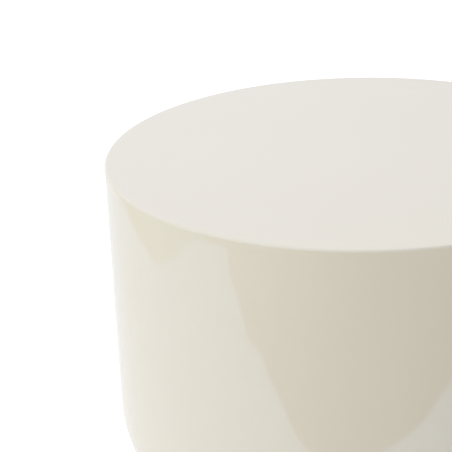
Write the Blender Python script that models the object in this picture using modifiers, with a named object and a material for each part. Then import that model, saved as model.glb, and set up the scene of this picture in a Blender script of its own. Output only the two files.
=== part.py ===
"""Round drum table: lacquered MDF top and turned base, bent plywood wall on an inner frame, plinth and levelling feet.

Metres, +Z up. The origin is on the floor, under the middle of the table.
"""

from math import cos, pi, radians, sin, sqrt

import bpy

# ---- Driving dimensions ---------------------------------------------------------------------------------------------

RADIUS = 0.250  # outside of the drum
HEIGHT = 0.400  # floor to table top
TOP_EDGE = 0.0016  # round on the top edge
TOP_THICK = 0.022
WALL_PLY = 0.0045  # each of the two bent layers
WALL_FOOT = 0.148  # where the straight wall ends and the large round begins
ROUND = 0.115  # radius of the large round
UNDERSIDE = 0.040  # flat underside of the base
BASE_LAYERS = 5
FORMER_THICK = 0.018
FORMER_BORE = 0.175
POST = (0.030, 0.045)  # radial, tangential
POST_PITCH_R = 0.207
PLINTH_R = 0.160
PLINTH_FOOT = 0.0215
GAP = 0.0003  # glue line or fitting clearance between neighbours

FOOT_PITCH_R = 0.132
FOOT_AZIMUTHS = (45, 135, 225, 315)
FOOT_TRAVEL = 0.006  # how far a foot can be screwed in from where it stands
PAD_R = 0.017
PAD_TOP = 0.0083
FELT_R = 0.0150
FELT_THICK = 0.0020
COLLAR_AF = 0.013  # hex collar, across flats
COLLAR_TALL = 0.0050
STUD_R = 0.0040  # M8
STUD_TOP = 0.0300
INSERT_R = 0.0055
INSERT_BORE = 0.0043
INSERT_TOP = 0.0350

SCREW_HEAD_R = 0.0042
SCREW_R = 0.0021
HEAVY_HEAD_R = 0.0048
HEAVY_R = 0.0024

BIG = 64  # sides of the large turned pieces
SMALL = 20  # sides of the feet
FINE = 8  # sides of the screws

# ---- Scene ----------------------------------------------------------------------------------------------------------

for old in list(bpy.data.objects):
    bpy.data.objects.remove(old, do_unlink=True)

table = bpy.data.collections.new("drum_table")
cutters = bpy.data.collections.new("cutters")
bpy.context.scene.collection.children.link(table)
bpy.context.scene.collection.children.link(cutters)

materials = {}


def material(name, colour, roughness, metallic=0.0):
    if name not in materials:
        made = bpy.data.materials.new(name)
        made.use_nodes = True
        shader = made.node_tree.nodes["Principled BSDF"]
        shader.inputs["Base Color"].default_value = (*colour, 1.0)
        shader.inputs["Roughness"].default_value = roughness
        shader.inputs["Metallic"].default_value = metallic
        materials[name] = made
    return materials[name]


LACQUER = material("cream_lacquer", (0.72, 0.67, 0.56), 0.06)
PLY = material("bent_plywood", (0.62, 0.46, 0.29), 0.55)
BIRCH = material("birch_plywood", (0.68, 0.53, 0.35), 0.55)
PINE = material("pine_batten", (0.66, 0.48, 0.28), 0.6)
PLINTH = material("plinth_lacquer", (0.10, 0.085, 0.07), 0.35)
ZINC = material("zinc_plate", (0.62, 0.63, 0.64), 0.32, 1.0)
NYLON = material("black_nylon", (0.035, 0.035, 0.037), 0.45)
FELT = material("grey_felt", (0.22, 0.21, 0.20), 0.95)


# ---- Modelling helpers ----------------------------------------------------------------------------------------------


def place(obj, where, location=(0, 0, 0), rotation=(0, 0, 0), parent=None):
    where.objects.link(obj)
    obj.location = location
    obj.rotation_euler = rotation
    obj.parent = parent
    return obj


def turned_mesh(name, profile, ring):
    """A profile in the XZ plane: radius and height, down the outer side from top to bottom."""
    mesh = bpy.data.meshes.new(name)
    points = [(r, 0.0, z) for r, z in profile]
    edges = [(i, i + 1) for i in range(len(points) - 1)]
    if ring:
        edges.append((len(points) - 1, 0))
    mesh.from_pydata(points, edges, [])
    return mesh


def turn(obj, sides):
    screw = obj.modifiers.new("turn", "SCREW")
    screw.axis = "Z"
    screw.angle = 2 * pi
    screw.screw_offset = 0.0
    screw.steps = sides
    screw.render_steps = sides
    screw.use_merge_vertices = True
    screw.merge_threshold = 0.00001
    screw.use_smooth_shade = False
    return obj


def turned(name, profile, sides, finish, ring=False, **placing):
    mesh = turned_mesh(name, profile, ring)
    mesh.materials.append(finish)
    return turn(place(bpy.data.objects.new(name, mesh), table, **placing), sides)


def cutter_group(name):
    made = bpy.data.collections.new("cuts_" + name)
    cutters.children.link(made)
    return made


def turned_cutter(name, profile, sides, groups, **placing):
    obj = place(bpy.data.objects.new(name, turned_mesh(name, profile, False)), groups[0], **placing)
    for more in groups[1:]:
        more.objects.link(obj)
    obj.hide_render = True
    obj.display_type = "WIRE"
    return turn(obj, sides)


def cut(obj, group):
    boolean = obj.modifiers.new("holes", "BOOLEAN")
    boolean.operation = "DIFFERENCE"
    boolean.solver = "EXACT"
    boolean.operand_type = "COLLECTION"
    boolean.collection = group


def polar(radius, azimuth, z):
    return (radius * cos(radians(azimuth)), radius * sin(radians(azimuth)), z)


def drum_radius(z):
    """Outside of the turned base at a height: a quarter circle that runs into the wall."""
    return RADIUS - ROUND + sqrt(ROUND**2 - (WALL_FOOT - z) ** 2)


def screw_profile(length, head_r, shank_r):
    """Countersunk wood screw, head face at 0, point downwards, with a shallow drive recess."""
    cone = head_r - shank_r
    return [
        (0.0, -0.0014),
        (0.0014, 0.0),
        (head_r, 0.0),
        (head_r, -0.0005),
        (shank_r, -0.0005 - cone),
        (shank_r, -length + 0.004),
        (0.0, -length),
    ]


def screw_hole(length, head_r, shank_r):
    cone = head_r - shank_r
    return [
        (0.0, 0.003),
        (head_r + GAP, 0.003),
        (head_r + GAP, -0.0005),
        (shank_r + GAP, -0.0005 - cone),
        (shank_r + GAP, -length - GAP),
        (0.0, -length - GAP),
    ]


def drive(name, where, up, length, head_r, shank_r, groups):
    """A screw and the hole it sits in. up: the point is upwards and the head is below."""
    turned_round = (pi, 0, 0) if up else (0, 0, 0)
    turned(name, screw_profile(length, head_r, shank_r), FINE, ZINC, location=where, rotation=turned_round)
    turned_cutter(
        "cut_" + name,
        screw_hole(length, head_r, shank_r),
        FINE,
        groups,
        location=where,
        rotation=turned_round,
    )


# ---- Top ------------------------------------------------------------------------------------------------------------

top_under = HEIGHT - TOP_THICK
edge_steps = 3
edge = [
    (
        RADIUS - TOP_EDGE + TOP_EDGE * sin(pi / 2 * i / edge_steps),
        HEIGHT - TOP_EDGE + TOP_EDGE * cos(pi / 2 * i / edge_steps),
    )
    for i in range(edge_steps + 1)
]
top_panel = turned(
    "top_panel", [(0.0, HEIGHT), *edge, (RADIUS, top_under), (0.0, top_under)], BIG, LACQUER
)
top_cuts = cutter_group("top_panel")
cut(top_panel, top_cuts)

# ---- Wall: two bent plywood layers ----------------------------------------------------------------------------------

wall_top = top_under - GAP
wall_foot = WALL_FOOT + GAP


def ring_profile(outer, inner, top, bottom):
    return [(outer, top), (outer, bottom), (inner, bottom), (inner, top)]


inner_face = RADIUS - WALL_PLY - GAP
turned(
    "wall_outer_ply",
    ring_profile(RADIUS, RADIUS - WALL_PLY, wall_top, wall_foot),
    BIG,
    LACQUER,
    ring=True,
)
turned(
    "wall_inner_ply",
    ring_profile(inner_face, inner_face - WALL_PLY, wall_top, wall_foot),
    BIG,
    PLY,
    ring=True,
)

# ---- Inner frame: two formers and four posts ------------------------------------------------------------------------

former_r = inner_face - WALL_PLY - GAP
top_former_low = wall_top - FORMER_THICK
bottom_former_high = wall_foot + FORMER_THICK
top_former = turned(
    "top_former", ring_profile(former_r, FORMER_BORE, wall_top, top_former_low), BIG, BIRCH, ring=True
)
bottom_former = turned(
    "bottom_former", ring_profile(former_r, FORMER_BORE, bottom_former_high, wall_foot), BIG, BIRCH, ring=True
)
top_former_cuts = cutter_group("top_former")
bottom_former_cuts = cutter_group("bottom_former")
cut(top_former, top_former_cuts)
cut(bottom_former, bottom_former_cuts)

post_low = bottom_former_high + GAP
post_high = top_former_low - GAP
post_tall = post_high - post_low
for i, azimuth in enumerate((45, 135, 225, 315), start=1):
    bpy.ops.mesh.primitive_cube_add(size=1.0)
    post = bpy.context.object
    post.name = post.data.name = f"post_{i}"
    for owner in list(post.users_collection):
        owner.objects.unlink(post)
    table.objects.link(post)
    for vertex in post.data.vertices:
        vertex.co.x *= POST[0]
        vertex.co.y *= POST[1]
        vertex.co.z *= post_tall
    post.location = polar(POST_PITCH_R, azimuth, (post_low + post_high) / 2)
    post.rotation_euler = (0, 0, radians(azimuth))
    post.data.materials.append(PINE)
    arris = post.modifiers.new("arris", "BEVEL")
    arris.width = 0.002
    arris.segments = 1
    post_cuts = cutter_group(post.name)
    cut(post, post_cuts)
    # One screw up through the bottom former and one down through the top former.
    drive(
        f"post_screw_{2 * i - 1}",
        polar(POST_PITCH_R, azimuth, wall_foot + GAP),
        True,
        0.045,
        SCREW_HEAD_R,
        SCREW_R,
        [bottom_former_cuts, post_cuts],
    )
    drive(
        f"post_screw_{2 * i}",
        polar(POST_PITCH_R, azimuth, wall_top - GAP),
        False,
        0.045,
        SCREW_HEAD_R,
        SCREW_R,
        [top_former_cuts, post_cuts],
    )

# Screws up through the top former into the top.
for i in range(6):
    drive(
        f"top_screw_{i + 1}",
        polar(POST_PITCH_R, 60 * i, top_former_low + GAP),
        True,
        0.030,
        SCREW_HEAD_R,
        SCREW_R,
        [top_former_cuts, top_cuts],
    )

# ---- Base: a stack of discs turned to the large round ---------------------------------------------------------------

layer_tall = (WALL_FOOT - UNDERSIDE) / BASE_LAYERS
round_steps = 2
layers = []
for i in range(BASE_LAYERS):
    high = WALL_FOOT - i * layer_tall - (GAP if i else 0.0)
    low = WALL_FOOT - (i + 1) * layer_tall
    rim = [
        (drum_radius(z), z)
        for z in (high + (low - high) * k / round_steps for k in range(round_steps + 1))
    ]
    layers.append(turned(f"base_layer_{i + 1}", [(0.0, high), *rim, (0.0, low)], BIG, LACQUER))
first_cuts = cutter_group("base_layer_1")
last_cuts = cutter_group(f"base_layer_{BASE_LAYERS}")
cut(layers[0], first_cuts)
cut(layers[-1], last_cuts)

# Screws down through the bottom former into the first layer.
for i in range(4):
    drive(
        f"frame_screw_{i + 1}",
        polar(POST_PITCH_R, 90 * i, bottom_former_high - GAP),
        False,
        0.035,
        SCREW_HEAD_R,
        SCREW_R,
        [bottom_former_cuts, first_cuts],
    )

# ---- Plinth ---------------------------------------------------------------------------------------------------------

plinth_top = UNDERSIDE - GAP
arris = 0.0015
plinth = turned(
    "plinth",
    [
        (0.0, plinth_top),
        (PLINTH_R, plinth_top),
        (PLINTH_R, PLINTH_FOOT + arris),
        (PLINTH_R - arris, PLINTH_FOOT),
        (0.0, PLINTH_FOOT),
    ],
    BIG,
    PLINTH,
)
plinth_cuts = cutter_group("plinth")
cut(plinth, plinth_cuts)

for i in range(4):
    drive(
        f"plinth_screw_{i + 1}",
        polar(0.118, 90 * i, PLINTH_FOOT + GAP),
        True,
        0.035,
        HEAVY_HEAD_R,
        HEAVY_R,
        [plinth_cuts, last_cuts],
    )

# ---- Levelling feet -------------------------------------------------------------------------------------------------
# Each stands on its own axis, an empty on the floor. The stud turns in the insert and the swivel pad travels with it,
# up from here until the collar meets the insert's flange.

collar_low = PAD_TOP + GAP
collar_high = collar_low + COLLAR_TALL
flange_low = collar_high + FOOT_TRAVEL + 0.0004
flange_high = PLINTH_FOOT - GAP
bore_top = STUD_TOP + FOOT_TRAVEL + 0.0015
spigot_low = 0.0047
spigot_r = 0.0030

insert_profile = [
    (INSERT_R, INSERT_TOP),
    (INSERT_R, flange_high),
    (0.0090, flange_high),
    (0.0090, flange_low),
    (INSERT_BORE, flange_low),
    (INSERT_BORE, INSERT_TOP),
]
insert_hole = [
    (0.0, bore_top),
    (STUD_R + 0.0006, bore_top),
    (STUD_R + 0.0006, INSERT_TOP + GAP),
    (INSERT_R + GAP, INSERT_TOP + GAP),
    (INSERT_R + GAP, PLINTH_FOOT - 0.004),
    (0.0, PLINTH_FOOT - 0.004),
]
stud_profile = [
    (0.0, STUD_TOP),
    (STUD_R - 0.0008, STUD_TOP),
    (STUD_R, STUD_TOP - 0.0008),
    (STUD_R, collar_low + 0.0020),
    (spigot_r, collar_low + 0.0010),
    (spigot_r, spigot_low),
    (0.0, spigot_low),
]
pad_profile = [
    (0.0, spigot_low - GAP),
    (spigot_r + GAP, spigot_low - GAP),
    (spigot_r + GAP, PAD_TOP),
    (0.0115, PAD_TOP),
    (PAD_R - 0.0006, 0.0058),
    (PAD_R, 0.0046),
    (PAD_R, 0.0034),
    (PAD_R - 0.0011, FELT_THICK + GAP),
    (0.0, FELT_THICK + GAP),
]
felt_profile = [
    (0.0, FELT_THICK),
    (FELT_R - 0.0004, FELT_THICK),
    (FELT_R, FELT_THICK - 0.0004),
    (FELT_R, 0.0),
    (0.0, 0.0),
]

for i, azimuth in enumerate(FOOT_AZIMUTHS, start=1):
    axis = place(bpy.data.objects.new(f"foot_axis_{i}", None), table, polar(FOOT_PITCH_R, azimuth, 0.0))
    turned(f"threaded_insert_{i}", insert_profile, SMALL, ZINC, ring=True, parent=axis)
    turned_cutter(f"cut_insert_{i}", insert_hole, SMALL, [plinth_cuts], parent=axis)
    turned(f"foot_pad_{i}", pad_profile, SMALL, NYLON, parent=axis)
    turned(f"felt_disc_{i}", felt_profile, SMALL, FELT, parent=axis)
    stud = turned(f"foot_stud_{i}", stud_profile, SMALL, ZINC, parent=axis)
    # The hex collar that a spanner turns, joined to the stud.
    bpy.ops.mesh.primitive_cylinder_add(vertices=6, radius=COLLAR_AF / sqrt(3), depth=COLLAR_TALL)
    collar = bpy.context.object
    collar.name = f"collar_{i}"
    for owner in list(collar.users_collection):
        owner.objects.unlink(collar)
    cutters.objects.link(collar)
    collar.parent = axis
    collar.location = (0, 0, (collar_low + collar_high) / 2)
    collar.hide_render = True
    collar.display_type = "WIRE"
    join = stud.modifiers.new("collar", "BOOLEAN")
    join.operation = "UNION"
    join.solver = "EXACT"
    join.object = collar

bpy.context.view_layer.update()
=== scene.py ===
"""Looks of the round drum table: one continuous gloss lacquer film over the top, wall and rounded base,
dark satin plinth, levelling feet, and the raw boards and hardware inside. Metres, +Z up, in the frame's own place."""

import math

import bmesh
import bpy
from mathutils import Matrix, Vector


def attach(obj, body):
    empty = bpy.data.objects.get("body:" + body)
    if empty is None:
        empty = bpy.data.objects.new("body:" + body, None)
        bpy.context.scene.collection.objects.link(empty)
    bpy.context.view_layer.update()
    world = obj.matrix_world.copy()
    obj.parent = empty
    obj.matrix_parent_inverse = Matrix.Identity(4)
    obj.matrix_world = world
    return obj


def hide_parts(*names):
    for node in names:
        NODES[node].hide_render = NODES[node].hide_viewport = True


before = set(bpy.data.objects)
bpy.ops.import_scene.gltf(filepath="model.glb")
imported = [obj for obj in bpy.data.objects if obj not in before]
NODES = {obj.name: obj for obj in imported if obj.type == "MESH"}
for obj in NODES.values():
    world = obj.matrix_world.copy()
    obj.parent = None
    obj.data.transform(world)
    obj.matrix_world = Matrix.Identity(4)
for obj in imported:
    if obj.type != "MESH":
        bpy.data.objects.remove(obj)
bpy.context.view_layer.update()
scene = bpy.context.scene

# ---- Sizes that the looks repeat from the construction --------------------------------------------------------------

RADIUS, HEIGHT = 0.250, 0.400
TOP_EDGE = 0.0016
WALL_FOOT, ROUND = 0.148, 0.115
UNDERSIDE = 0.040
PLINTH_R, PLINTH_FOOT = 0.160, 0.0215
FOOT_PITCH_R = 0.132
FOOT_AZIMUTHS = (45, 135, 225, 315)

# ---- Node helpers ---------------------------------------------------------------------------------------------------


class Shader:
    """A material under construction: add() makes a node, link() joins sockets."""

    def __init__(self, name):
        self.material = bpy.data.materials.new(name)
        self.material.use_nodes = True
        self.tree = self.material.node_tree
        self.bsdf = self.tree.nodes["Principled BSDF"]

    def add(self, kind, **values):
        node = self.tree.nodes.new(kind)
        for key, value in values.items():
            if key.startswith("in_"):
                node.inputs[int(key[3:])].default_value = value
            else:
                setattr(node, key, value)
        return node

    def link(self, out, into):
        self.tree.links.new(out, into)

    def set(self, **values):
        for key, value in values.items():
            self.bsdf.inputs[key.replace("_", " ")].default_value = value

    def coords(self, scale=(1, 1, 1)):
        place = self.add("ShaderNodeTexCoord")
        mapping = self.add("ShaderNodeMapping")
        mapping.inputs["Scale"].default_value = scale
        self.link(place.outputs["Object"], mapping.inputs["Vector"])
        return mapping.outputs["Vector"]

    def noise(self, vector, scale, detail=2.0, rough=0.5, distortion=0.0):
        node = self.add("ShaderNodeTexNoise")
        node.inputs["Scale"].default_value = scale
        node.inputs["Detail"].default_value = detail
        node.inputs["Roughness"].default_value = rough
        node.inputs["Distortion"].default_value = distortion
        self.link(vector, node.inputs["Vector"])
        return node.outputs["Fac"]

    def ramp(self, fac, stops):
        node = self.add("ShaderNodeValToRGB")
        ramp = node.color_ramp
        while len(ramp.elements) < len(stops):
            ramp.elements.new(0.5)
        for element, (at, colour) in zip(ramp.elements, stops):
            element.position = at
            element.color = (*colour, 1.0) if len(colour) == 3 else colour
        self.link(fac, node.inputs["Fac"])
        return node.outputs["Color"]

    def spread(self, fac, low, high, from_low=0.3, from_high=0.7):
        node = self.add("ShaderNodeMapRange")
        node.inputs["From Min"].default_value = from_low
        node.inputs["From Max"].default_value = from_high
        node.inputs["To Min"].default_value = low
        node.inputs["To Max"].default_value = high
        self.link(fac, node.inputs["Value"])
        return node.outputs["Result"]

    def math(self, operation, a, b=None):
        node = self.add("ShaderNodeMath", operation=operation)
        for i, value in enumerate((a, b)):
            if value is None:
                continue
            if isinstance(value, (int, float)):
                node.inputs[i].default_value = value
            else:
                self.link(value, node.inputs[i])
        return node.outputs["Value"]

    def mix(self, fac, a, b, blend="MIX"):
        node = self.add("ShaderNodeMix", data_type="RGBA", blend_type=blend)
        for socket, value in ((node.inputs[0], fac), (node.inputs[6], a), (node.inputs[7], b)):
            if isinstance(value, (int, float)):
                socket.default_value = value
            elif isinstance(value, tuple):
                socket.default_value = (*value, 1.0)
            else:
                self.link(value, socket)
        return node.outputs[2]

    def bump(self, height, strength, distance, onto=None):
        node = self.add("ShaderNodeBump")
        node.inputs["Strength"].default_value = strength
        node.inputs["Distance"].default_value = distance
        self.link(height, node.inputs["Height"])
        if onto is not None:
            self.link(onto, node.inputs["Normal"])
        return node.outputs["Normal"]

    def finish(self, colour=None, roughness=None, normal=None):
        for name, value in (("Base Color", colour), ("Roughness", roughness), ("Normal", normal)):
            if value is not None:
                self.link(value, self.bsdf.inputs[name])
        return self.material


# ---- Materials ------------------------------------------------------------------------------------------------------


def lacquer_material():
    """Polished cream lacquer: faint pigment drift, a slow wave left by sanding, fine orange peel, polishing haze."""
    s = Shader("cream_gloss_lacquer")
    p = s.coords()
    drift = s.noise(p, 5.0, 3.0, 0.55)
    speck = s.noise(p, 900.0, 2.0, 0.6)
    body = s.ramp(drift, [(0.25, (0.829, 0.797, 0.626)), (0.75, (0.841, 0.809, 0.638))])
    body = s.mix(s.spread(speck, 0.0, 0.05, 0.62, 0.80), body, (0.78, 0.745, 0.575))
    haze = s.noise(p, 38.0, 4.0, 0.6)
    roughness = s.spread(haze, 0.046, 0.064)
    wave = s.noise(p, 14.0, 1.0, 0.4)
    peel = s.noise(p, 420.0, 1.0, 0.5)
    normal = s.bump(wave, 1.0, 0.00018)
    normal = s.bump(peel, 1.0, 0.000004, onto=normal)
    s.set(IOR=1.75)
    return s.finish(body, roughness, normal)


def satin_material():
    """Dark satin lacquer on the plinth, a little rubbed at its lower edge."""
    s = Shader("plinth_satin_lacquer")
    p = s.coords()
    drift = s.noise(p, 9.0, 4.0, 0.6)
    body = s.ramp(drift, [(0.3, (0.050, 0.043, 0.036)), (0.7, (0.064, 0.055, 0.047))])
    place = s.add("ShaderNodeSeparateXYZ")
    s.link(p, place.inputs[0])
    low = s.spread(place.outputs["Z"], 1.0, 0.0, PLINTH_FOOT, PLINTH_FOOT + 0.004)
    scuff = s.math("MULTIPLY", low, s.spread(s.noise(p, 160.0, 5.0, 0.7), 0.0, 1.0, 0.5, 0.75))
    body = s.mix(s.math("MULTIPLY", scuff, 0.5), body, (0.17, 0.15, 0.125))
    roughness = s.spread(s.noise(p, 60.0, 3.0, 0.6), 0.30, 0.42)
    normal = s.bump(s.noise(p, 700.0, 2.0, 0.5), 0.4, 0.00004)
    return s.finish(body, roughness, normal)


def mdf_material():
    """Raw board: fine pressed fibre, slightly darker flecks."""
    s = Shader("raw_mdf")
    p = s.coords()
    fibre = s.noise(p, 520.0, 5.0, 0.7, 0.6)
    cloud = s.noise(p, 18.0, 3.0, 0.5)
    body = s.ramp(fibre, [(0.25, (0.30, 0.205, 0.125)), (0.55, (0.43, 0.315, 0.205)), (0.8, (0.52, 0.40, 0.28))])
    body = s.mix(s.spread(cloud, 0.0, 0.25), body, (0.36, 0.25, 0.15))
    roughness = s.spread(fibre, 0.72, 0.88)
    return s.finish(body, roughness, s.bump(fibre, 0.5, 0.0002))


def plywood_material(name, light, dark, layer):
    """Veneer faces with long grain, and alternate layers where an edge shows."""
    s = Shader(name)
    p = s.coords()
    grain = s.noise(s.coords((14, 220, 220)), 1.0, 6.0, 0.65, 0.4)
    body = s.ramp(grain, [(0.3, dark), (0.62, light)])
    place = s.add("ShaderNodeSeparateXYZ")
    s.link(p, place.inputs[0])
    stripe = s.math("FRACT", s.math("DIVIDE", place.outputs["Z"], 2 * layer))
    edge = s.spread(stripe, 0.0, 0.45, 0.46, 0.54)
    body = s.mix(edge, body, tuple(0.62 * c for c in dark))
    roughness = s.spread(grain, 0.5, 0.7)
    return s.finish(body, roughness, s.bump(grain, 0.35, 0.0003))


def pine_material():
    s = Shader("planed_pine")
    p = s.coords((55, 55, 2.2))
    rings = s.add("ShaderNodeTexWave", wave_type="RINGS", rings_direction="Z")
    rings.inputs["Scale"].default_value = 0.9
    rings.inputs["Distortion"].default_value = 5.0
    rings.inputs["Detail"].default_value = 3.0
    s.link(p, rings.inputs["Vector"])
    body = s.ramp(rings.outputs["Fac"], [(0.15, (0.62, 0.44, 0.25)), (0.75, (0.72, 0.55, 0.34)), (0.95, (0.47, 0.29, 0.14))])
    fine = s.noise(s.coords((500, 500, 12)), 1.0, 4.0, 0.6)
    roughness = s.spread(fine, 0.48, 0.66)
    return s.finish(body, roughness, s.bump(fine, 0.3, 0.0002))


def zinc_material():
    """Bright zinc plate with a slight cloud and fine turning marks."""
    s = Shader("bright_zinc")
    s.set(Metallic=1.0)
    p = s.coords()
    cloud = s.noise(p, 260.0, 4.0, 0.6)
    body = s.ramp(cloud, [(0.3, (0.56, 0.57, 0.585)), (0.7, (0.70, 0.705, 0.70))])
    marks = s.noise(s.coords((300, 300, 5200)), 1.0, 2.0, 0.5)
    roughness = s.spread(cloud, 0.22, 0.40)
    return s.finish(body, roughness, s.bump(marks, 0.25, 0.00005))


def nylon_material():
    """Black moulded nylon with a fine spark texture."""
    s = Shader("black_nylon")
    p = s.coords()
    spark = s.noise(p, 2600.0, 3.0, 0.6)
    body = s.ramp(s.noise(p, 120.0, 3.0, 0.6), [(0.3, (0.020, 0.020, 0.021)), (0.7, (0.034, 0.034, 0.036))])
    roughness = s.spread(spark, 0.38, 0.54)
    return s.finish(body, roughness, s.bump(spark, 0.35, 0.00008))


def felt_material():
    """Pressed wool felt: mixed grey fibres with a soft sheen."""
    s = Shader("grey_felt")
    p = s.coords()
    fibre = s.noise(p, 1900.0, 6.0, 0.75, 1.2)
    body = s.ramp(fibre, [(0.25, (0.085, 0.082, 0.080)), (0.55, (0.19, 0.185, 0.18)), (0.8, (0.33, 0.325, 0.315))])
    s.set(Sheen_Weight=0.35, Sheen_Roughness=0.5)
    return s.finish(body, s.spread(fibre, 0.88, 0.98), s.bump(fibre, 0.9, 0.0005))


LACQUER = lacquer_material()
SATIN = satin_material()
MDF = mdf_material()
BEND_PLY = plywood_material("bent_plywood", (0.64, 0.50, 0.33), (0.50, 0.36, 0.21), 0.0016)
BIRCH_PLY = plywood_material("birch_plywood", (0.72, 0.58, 0.40), (0.60, 0.45, 0.28), 0.0014)
PINE = pine_material()
ZINC = zinc_material()
NYLON = nylon_material()
FELT = felt_material()


def dress(obj, material):
    obj.data.materials.clear()
    obj.data.materials.append(material)
    return obj


for name, node in NODES.items():
    if name.startswith("post_") and "screw" not in name:
        dress(node, PINE)
    elif name in ("top_former", "bottom_former"):
        dress(node, BIRCH_PLY)
    elif name.startswith("wall_"):
        dress(node, BEND_PLY)
    elif name == "top_panel" or name.startswith("base_layer") or name == "plinth":
        dress(node, MDF)
    elif name.startswith("foot_pad"):
        dress(node, NYLON)
    elif name.startswith("felt_disc"):
        dress(node, FELT)
    else:
        dress(node, ZINC)

# ---- Mesh helpers ---------------------------------------------------------------------------------------------------


def arc(centre, radius, start, end, steps):
    """Points of a circular arc in (radius, height), angles in degrees from +r towards +z."""
    return [
        (
            centre[0] + radius * math.cos(math.radians(start + (end - start) * i / steps)),
            centre[1] + radius * math.sin(math.radians(start + (end - start) * i / steps)),
        )
        for i in range(steps + 1)
    ]


def lathe(name, profile, sides, material, closed=True, at=(0.0, 0.0)):
    """A closed turned mesh. profile runs down the outer side from top to bottom. Points on the axis become one vertex."""
    mesh = bmesh.new()
    rings = []
    for r, z in profile:
        if r < 1e-7:
            rings.append([mesh.verts.new((at[0], at[1], z))])
        else:
            rings.append(
                [
                    mesh.verts.new(
                        (
                            at[0] + r * math.cos(2 * math.pi * k / sides),
                            at[1] + r * math.sin(2 * math.pi * k / sides),
                            z,
                        )
                    )
                    for k in range(sides)
                ]
            )
    pairs = list(zip(rings, rings[1:]))
    if closed and len(rings[0]) > 1:
        pairs.append((rings[-1], rings[0]))
    for a, b in pairs:
        for k in range(sides):
            n = (k + 1) % sides
            if len(a) == 1 and len(b) == 1:
                break
            if len(a) == 1:
                mesh.faces.new((a[0], b[k], b[n]))
            elif len(b) == 1:
                mesh.faces.new((a[k], b[0], a[n]))
            else:
                mesh.faces.new((a[k], b[k], b[n], a[n]))
    bmesh.ops.recalc_face_normals(mesh, faces=mesh.faces)
    data = bpy.data.meshes.new(name)
    mesh.to_mesh(data)
    mesh.free()
    data.materials.append(material)
    data.shade_smooth()
    data.set_sharp_from_angle(angle=math.radians(35))
    obj = bpy.data.objects.new(name, data)
    scene.collection.objects.link(obj)
    return obj


# ---- The lacquer film over top, wall and base -----------------------------------------------------------------------

FILM_IN, FILM_OUT = 0.00006, 0.00040


def film_profile(offset, edge_steps, round_steps):
    """Down the outside of the drum at an offset from the boards: top, edge round, wall, large round, under edge."""
    points = [(0.0, HEIGHT + offset)]
    points += [(r, HEIGHT + offset) for r in (0.05, 0.12, 0.19, 0.23)]
    points += arc((RADIUS - TOP_EDGE, HEIGHT - TOP_EDGE), TOP_EDGE + offset, 90, 0, edge_steps)
    wall_high = HEIGHT - TOP_EDGE
    points += [(RADIUS + offset, wall_high + (WALL_FOOT - wall_high) * t) for t in (0.03, 0.25, 0.5, 0.75, 0.97)]
    last = -math.degrees(math.asin((WALL_FOOT - UNDERSIDE) / ROUND))
    points += arc((RADIUS - ROUND, WALL_FOOT), ROUND + offset, 0, last, round_steps)
    return points


under_r = RADIUS - ROUND + math.sqrt(ROUND**2 - (WALL_FOOT - UNDERSIDE) ** 2)
outer = film_profile(FILM_OUT, 14, 72)
inner = film_profile(FILM_IN, 6, 40)
rim_r = outer[-1][0]
under = [
    (rim_r - 0.0004, UNDERSIDE - 0.00022),
    (rim_r - 0.0012, UNDERSIDE - FILM_OUT),
    (0.1680, UNDERSIDE - FILM_OUT),
    (0.1625, UNDERSIDE - FILM_OUT),
    (0.1625, UNDERSIDE - FILM_IN),
    (inner[-1][0] - 0.0008, UNDERSIDE - FILM_IN),
]
film = lathe("lacquer_film", outer + under + inner[::-1], 224, LACQUER, closed=False)
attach(film, "table")

# ---- Plinth film ----------------------------------------------------------------------------------------------------

arris = 0.0015
plinth_top = UNDERSIDE - 0.0003
p_out = [
    (PLINTH_R + 0.0003, plinth_top - 0.0006),
    (PLINTH_R + 0.0003, PLINTH_FOOT + 0.012),
    *arc((PLINTH_R - arris, PLINTH_FOOT + arris), arris + 0.0003, 0, -90, 6),
    (PLINTH_R - 0.012, PLINTH_FOOT - 0.0003),
    (PLINTH_R - 0.012, PLINTH_FOOT - 0.00005),
    (PLINTH_R - arris - 0.0002, PLINTH_FOOT - 0.00005),
    (PLINTH_R + 0.00005, PLINTH_FOOT + arris + 0.0002),
    (PLINTH_R + 0.00005, plinth_top - 0.0006),
]
plinth_film = lathe("plinth_film", p_out, 160, SATIN)
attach(plinth_film, "table")

# ---- Levelling feet -------------------------------------------------------------------------------------------------


def softened(points, radius, steps=3):
    """The same open profile with its corners rounded."""
    made = [points[0]]
    for before, here, after in zip(points, points[1:], points[2:]):
        a, b, c = Vector(before), Vector(here), Vector(after)
        back, on = (a - b), (c - b)
        start = b + back.normalized() * min(radius, 0.45 * back.length)
        end = b + on.normalized() * min(radius, 0.45 * on.length)
        for i in range(steps + 1):
            t = i / steps
            point = start * (1 - t) ** 2 + b * 2 * t * (1 - t) + end * t * t
            made.append((point.x, point.y))
    return made + [points[-1]]


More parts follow.
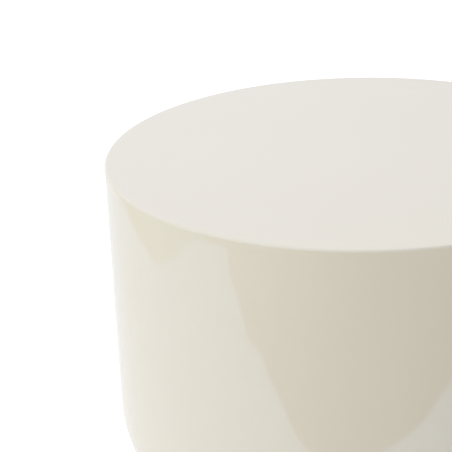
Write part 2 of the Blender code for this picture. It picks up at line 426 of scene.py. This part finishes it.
def turned_by(name, rows, sides, material, at, sharp=40):
    """A closed mesh from rows of (height, radius as a number or a function of the angle), capped at both ends."""
    mesh = bmesh.new()
    rings = []
    for z, radius in rows:
        ring = []
        for k in range(sides):
            angle = 2 * math.pi * k / sides
            r = radius(angle) if callable(radius) else radius
            ring.append(mesh.verts.new((at[0] + r * math.cos(angle), at[1] + r * math.sin(angle), z)))
        rings.append(ring)
    for a, b in zip(rings, rings[1:]):
        for k in range(sides):
            n = (k + 1) % sides
            mesh.faces.new((a[k], a[n], b[n], b[k]))
    for ring, z in ((rings[0], rows[0][0]), (rings[-1], rows[-1][0])):
        middle = mesh.verts.new((at[0], at[1], z))
        for k in range(sides):
            mesh.faces.new((middle, ring[k], ring[(k + 1) % sides]))
    bmesh.ops.recalc_face_normals(mesh, faces=mesh.faces)
    data = bpy.data.meshes.new(name)
    mesh.to_mesh(data)
    mesh.free()
    data.materials.append(material)
    data.shade_smooth()
    data.set_sharp_from_angle(angle=math.radians(sharp))
    obj = bpy.data.objects.new(name, data)
    scene.collection.objects.link(obj)
    return obj


def stud_rows():
    """Spigot, chamfered hex collar, relief neck and M8 x 1.25 thread, from the bottom up."""
    low, high = 0.0086, 0.0136
    flat_half, pitch, major, minor = 0.0065, 0.00125, 0.0040, 0.00338

    def hexagon(limit):
        def radius(angle):
            return min(flat_half / math.cos((angle + math.pi / 6) % (math.pi / 3) - math.pi / 6), limit)

        return radius

    def thread(z, fade):
        def radius(angle):
            turn = ((z - pitch * angle / (2 * math.pi)) / pitch) % 1.0
            rise = min(1.0, max(0.0, 1.35 - abs(2 * turn - 1) * 1.7))
            return min(minor + (major - minor) * rise, fade)

        return radius

    rows = [(0.0047, 0.0026), (0.0051, 0.0030), (low, 0.0030), (low, 0.0062), (low + 0.0004, hexagon(0.0070))]
    rows += [(low + 0.0010, hexagon(0.0074)), (high - 0.0010, hexagon(0.0074)), (high - 0.0004, hexagon(0.0070))]
    rows += [(high, 0.0062), (high, 0.0034), (high + 0.0007, 0.00335)]
    start, end = high + 0.0009, 0.0292
    steps = 84
    for i in range(steps + 1):
        z = start + (end - start) * i / steps
        rows.append((z, thread(z, min(major, minor + (z - start) * 1.2))))
    return rows + [(0.0296, 0.0034), (0.0300, 0.0030)]


pad_profile = softened(
    [
        (0.0033, 0.0044),
        (0.0033, 0.0083),
        (0.0062, 0.0083),
        (0.0065, 0.0079),
        (0.0072, 0.0079),
        (0.0075, 0.0083),
        (0.0115, 0.0083),
        (0.0164, 0.0058),
        (0.0170, 0.0046),
        (0.0170, 0.0034),
        (0.0159, 0.0023),
        (0.0080, 0.0023),
    ],
    0.0007,
)
insert_profile = softened(
    [
        (0.0043, 0.0350),
        (0.0055, 0.0350),
        (0.0055, 0.0212),
        (0.0090, 0.0212),
        (0.0090, 0.0200),
        (0.0043, 0.0200),
    ],
    0.0003,
    2,
)


def fluted(r):
    """Shallow grip flutes where the pad is widest."""
    depth = 0.00028 * min(1.0, max(0.0, (r - 0.0156) / 0.0009))
    return lambda angle: r - depth * (0.5 + 0.5 * math.cos(24 * angle))


def felted(r, salt):
    """A cut felt edge: a little uneven round the disc."""
    return lambda angle: r - 0.00012 * (1 + math.sin(7 * angle + salt) * 0.5 + math.sin(17 * angle + 2.1 * salt) * 0.5)


for i, azimuth in enumerate(FOOT_AZIMUTHS, start=1):
    at = (FOOT_PITCH_R * math.cos(math.radians(azimuth)), FOOT_PITCH_R * math.sin(math.radians(azimuth)))
    stud = turned_by(f"levelling_stud_{i}", stud_rows(), 36, ZINC, at, sharp=50)
    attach(stud, f"stud_{i}")
    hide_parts(f"foot_stud_{i}")
    pad = turned_by(f"nylon_pad_{i}", [(z, fluted(r)) for r, z in pad_profile], 96, NYLON, at)
    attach(pad, f"pad_{i}")
    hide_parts(f"foot_pad_{i}")
    felt = turned_by(
        f"felt_glide_{i}",
        [(0.0020, 0.0080), (0.0020, felted(0.0143, i)), (0.0018, felted(0.0149, i)), (0.0011, felted(0.0151, i + 3))]
        + [(0.0003, felted(0.0150, i)), (0.0, felted(0.0146, i)), (0.0, 0.0080)],
        64,
        FELT,
        at,
    )
    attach(felt, f"pad_{i}")
    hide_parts(f"felt_disc_{i}")
    insert = lathe(f"flanged_insert_{i}", insert_profile, 48, ZINC, at=at)
    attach(insert, "table")
    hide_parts(f"threaded_insert_{i}")

# ---- Studio ---------------------------------------------------------------------------------------------------------


def emitter(name, colour, sides=None, near=1.35, far=4.0):
    """A tone that clears to the ground below it with distance from the drum, and may turn to another at the sides."""
    made = bpy.data.materials.new(name)
    made.use_nodes = True
    tree = made.node_tree
    tree.nodes.clear()
    out = tree.nodes.new("ShaderNodeOutputMaterial")
    glow = tree.nodes.new("ShaderNodeEmission")
    glow.inputs["Color"].default_value = (*colour, 1.0)
    clear = tree.nodes.new("ShaderNodeBsdfTransparent")
    place = tree.nodes.new("ShaderNodeTexCoord")
    if sides is not None:
        split = tree.nodes.new("ShaderNodeSeparateXYZ")
        tree.links.new(place.outputs["Object"], split.inputs[0])
        aside = tree.nodes.new("ShaderNodeMath")
        aside.operation = "ABSOLUTE"
        tree.links.new(split.outputs["X"], aside.inputs[0])
        turn = tree.nodes.new("ShaderNodeMapRange")
        turn.interpolation_type = "SMOOTHSTEP"
        turn.inputs["From Min"].default_value = 0.0
        turn.inputs["From Max"].default_value = 1.1
        tree.links.new(aside.outputs[0], turn.inputs["Value"])
        blend = tree.nodes.new("ShaderNodeMixRGB")
        blend.inputs["Color1"].default_value = (*colour, 1.0)
        blend.inputs["Color2"].default_value = (*sides, 1.0)
        tree.links.new(turn.outputs["Result"], blend.inputs["Fac"])
        tree.links.new(blend.outputs["Color"], glow.inputs["Color"])
    away = tree.nodes.new("ShaderNodeVectorMath")
    away.operation = "LENGTH"
    tree.links.new(place.outputs["Object"], away.inputs[0])
    fade = tree.nodes.new("ShaderNodeMapRange")
    fade.interpolation_type = "SMOOTHSTEP"
    fade.inputs["From Min"].default_value = near
    fade.inputs["From Max"].default_value = far
    tree.links.new(away.outputs["Value"], fade.inputs["Value"])
    both = tree.nodes.new("ShaderNodeMixShader")
    tree.links.new(fade.outputs["Result"], both.inputs["Fac"])
    tree.links.new(glow.outputs[0], both.inputs[1])
    tree.links.new(clear.outputs[0], both.inputs[2])
    tree.links.new(both.outputs[0], out.inputs["Surface"])
    return made


def flat(name, corners, material):
    mesh = bpy.data.meshes.new(name)
    mesh.from_pydata(corners, [], [tuple(range(len(corners)))])
    mesh.materials.append(material)
    obj = bpy.data.objects.new(name, mesh)
    scene.collection.objects.link(obj)
    return obj


# Pale ground: a plain matt sheet, lifted a little where it is seen directly or in the gloss.
ground = Shader("studio_floor")
ground.set(Base_Color=(0.82, 0.82, 0.82, 1), Roughness=0.9, Specular_IOR_Level=0.0, Emission_Strength=1.0)
path = ground.add("ShaderNodeLightPath")
lift = ground.mix(path.outputs["Is Camera Ray"], (0.0, 0.0, 0.0), (0.42, 0.42, 0.42))
lift = ground.mix(path.outputs["Is Glossy Ray"], lift, (0.282, 0.292, 0.262))
ground.link(lift, ground.bsdf.inputs["Emission Color"])
flat("floor", [(-30, -30, 0), (30, -30, 0), (30, 30, 0), (-30, 30, 0)], ground.material)

# Warm, darker surroundings beyond the ground sheet: seen only in the gloss of the drum.
LEFT, RIGHT, FRONT, FAR = -1.032, 1.10, -0.664, 9.0
CORNER = (-1.013, -0.557)
FRONT_EDGE = [
    CORNER,
    (-0.984, -0.606),
    (-0.949, -0.650),
    (-0.916, -0.677),
    (-0.894, -0.683),
    (-0.871, -0.677),
    (-0.843, -0.657),
    (-0.813, -0.644),
    (-0.747, -0.653),
    (-0.688, -0.643),
    (-0.627, -0.634),
    (-0.568, -0.619),
    (-0.524, -0.633),
    (-0.481, -0.644),
    (-0.424, -0.621),
    (-0.363, -0.617),
    (-0.305, -0.599),
    (-0.255, -0.575),
    (-0.195, -0.563),
    (0.000, -0.572),
    (0.090, -0.597),
    (0.185, -0.608),
    (0.255, -0.618),
    (0.315, -0.629),
    (RIGHT, FRONT),
]
LEFT_EDGE = [
    (-1.032, 0.480),
    (-1.022, 0.325),
    (-1.011, 0.230),
    (-1.002, 0.141),
    (-0.988, 0.070),
    (-0.974, -0.016),
    (-0.990, -0.083),
    (-1.007, -0.191),
    (-1.028, -0.269),
    (-1.042, -0.350),
    (-1.043, -0.442),
    (-1.034, -0.503),
    CORNER,
]
front_tone = emitter("surround_front", (0.520, 0.275, 0.040), sides=(0.800, 0.560, 0.310))
side_tone = emitter("surround_side", (0.825, 0.766, 0.535))
z = 0.002
flags = [
    flat(
        "surround_front",
        [(-FAR, -FAR, z), (FAR, -FAR, z), (FAR, FRONT, z)]
        + [(x, y, z) for x, y in reversed(FRONT_EDGE)]
        + [(-FAR, CORNER[1], z)],
        front_tone,
    ),
    flat(
        "surround_left",
        [(-FAR, CORNER[1], z)] + [(x, y, z) for x, y in reversed(LEFT_EDGE)] + [(LEFT, FAR, z), (-FAR, FAR, z)],
        side_tone,
    ),
    flat("surround_right", [(RIGHT, FRONT, z), (FAR, FRONT, z), (FAR, FAR, z), (RIGHT, FAR, z)], side_tone),
]
for flag in flags:
    flag.visible_camera = False
    flag.visible_diffuse = False
    flag.visible_transmission = False
    flag.visible_volume_scatter = False
    flag.visible_shadow = False

# Soft studio surround: wide lobes of light, strongest from the left and front left, dim in front and to the right.


def direction(azimuth, elevation):
    """Unit vector from azimuth (0 is the front, -90 the left) and elevation, in degrees."""
    a, e = math.radians(azimuth), math.radians(elevation)
    return (math.sin(a) * math.cos(e), -math.cos(a) * math.cos(e), math.sin(e))


TINT = (1.0, 0.995, 1.093)
EVEN = 0.345
LOBES = [
    (direction(0, 90), 3, 0.083),
    (direction(0, 90), 8, 0.308),
    (direction(-45, 45), 4, 0.447),
    (direction(-60, 30), 6, 0.578),
    (direction(-50, 10), 6, 0.536),
    (direction(-75, 5), 8, 0.360),
    (direction(-135, 8), 8, 0.158),
    (direction(-135, 30), 4, 0.196),
    (direction(-135, 60), 4, 0.068),
    (direction(-172, 20), 6, 0.529),
    (direction(180, 55), 4, 0.332),
]
world = bpy.data.worlds.new("studio")
scene.world = world
world.use_nodes = True
tree = world.node_tree
tree.nodes.clear()
out = tree.nodes.new("ShaderNodeOutputWorld")
place = tree.nodes.new("ShaderNodeTexCoord")
total = None
for aim, power, level in LOBES:
    dot = tree.nodes.new("ShaderNodeVectorMath")
    dot.operation = "DOT_PRODUCT"
    dot.inputs[1].default_value = aim
    tree.links.new(place.outputs["Generated"], dot.inputs[0])
    front = tree.nodes.new("ShaderNodeMath")
    front.operation = "MAXIMUM"
    front.inputs[1].default_value = 0.0
    tree.links.new(dot.outputs["Value"], front.inputs[0])
    shape = tree.nodes.new("ShaderNodeMath")
    shape.operation = "POWER"
    shape.inputs[1].default_value = power
    tree.links.new(front.outputs[0], shape.inputs[0])
    add = tree.nodes.new("ShaderNodeVectorMath")
    add.operation = "MULTIPLY_ADD"
    tree.links.new(shape.outputs[0], add.inputs[0])
    add.inputs[1].default_value = [level * c for c in TINT]
    if total is None:
        add.inputs[2].default_value = [EVEN * c for c in TINT]
    else:
        tree.links.new(total, add.inputs[2])
    total = add.outputs["Vector"]

# The gloss also meets a pale backdrop: rather high in front and to the right, where the light is dim, and all round near
# the ground. It sees no light brighter than the back, so that a top that mirrors the lit side keeps its outline.


def slope(value, low, high, start, end):
    node = tree.nodes.new("ShaderNodeMapRange")
    node.interpolation_type = "SMOOTHSTEP"
    for name, number in (("From Min", low), ("From Max", high), ("To Min", start), ("To Max", end)):
        node.inputs[name].default_value = number
    tree.links.new(value, node.inputs["Value"])
    return node.outputs["Result"]


def vector(operation, *values):
    node = tree.nodes.new("ShaderNodeVectorMath")
    node.operation = operation
    for socket, value in zip(node.inputs, values):
        if isinstance(value, tuple):
            socket.default_value = value
        else:
            tree.links.new(value, socket)
    return node.outputs["Value" if operation == "DOT_PRODUCT" else "Vector"]


def blend(fac, a, b):
    return vector("MULTIPLY_ADD", fac, vector("SUBTRACT", b, a), a)


BACKDROP = (0.55, 0.545, 0.50)
BRIGHTEST = (1.22, 1.214, 1.333)
HORIZON = (0.86, 0.85, 0.82)
path = tree.nodes.new("ShaderNodeLightPath")
split = tree.nodes.new("ShaderNodeSeparateXYZ")
tree.links.new(place.outputs["Generated"], split.inputs[0])
lit_side = vector("DOT_PRODUCT", place.outputs["Generated"], direction(-130, 15))
dim = vector("MULTIPLY", slope(split.outputs["Z"], 0.10, 0.50, 1.0, 0.0), slope(lit_side, 0.05, 0.50, 1.0, 0.0))
gloss = vector("MINIMUM", vector("MULTIPLY_ADD", dim, BACKDROP, total), BRIGHTEST)
gloss = blend(slope(split.outputs["Z"], 0.10, 0.27, 0.0, 1.0), HORIZON, gloss)
total = blend(path.outputs["Is Glossy Ray"], total, gloss)

studio = tree.nodes.new("ShaderNodeBackground")
tree.links.new(total, studio.inputs["Color"])
plain = tree.nodes.new("ShaderNodeBackground")
plain.inputs["Color"].default_value = (1.05, 1.05, 1.05, 1)
choose = tree.nodes.new("ShaderNodeMixShader")
tree.links.new(path.outputs["Is Camera Ray"], choose.inputs["Fac"])
tree.links.new(studio.outputs[0], choose.inputs[1])
tree.links.new(plain.outputs[0], choose.inputs[2])
tree.links.new(choose.outputs[0], out.inputs["Surface"])

scene.view_settings.view_transform = "Standard"
scene.view_settings.look = "None"
scene.view_settings.exposure = 0.0
scene.view_settings.gamma = 1.0

# ---- Camera ---------------------------------------------------------------------------------------------------------

yaw, pitch, roll = math.radians(-5.81082), math.radians(22.06016), math.radians(-2.32592)
forward = Vector((math.sin(yaw) * math.cos(pitch), math.cos(yaw) * math.cos(pitch), -math.sin(pitch)))
right = Vector((math.cos(yaw), -math.sin(yaw), 0.0))
up = right.cross(forward)
right, up = right * math.cos(roll) + up * math.sin(roll), -right * math.sin(roll) + up * math.cos(roll)
lens = bpy.data.cameras.new("camera")
lens.sensor_width = 36.0
lens.lens = 36.0 * 1440.0 / 452.0
lens.clip_start, lens.clip_end = 0.05, 200.0
camera = bpy.data.objects.new("camera", lens)
scene.collection.objects.link(camera)
camera.matrix_world = Matrix(
    (
        (right.x, up.x, -forward.x, 0.0),
        (right.y, up.y, -forward.y, -1.334440),
        (right.z, up.z, -forward.z, 0.863860),
        (0.0, 0.0, 0.0, 1.0),
    )
)
scene.camera = camera
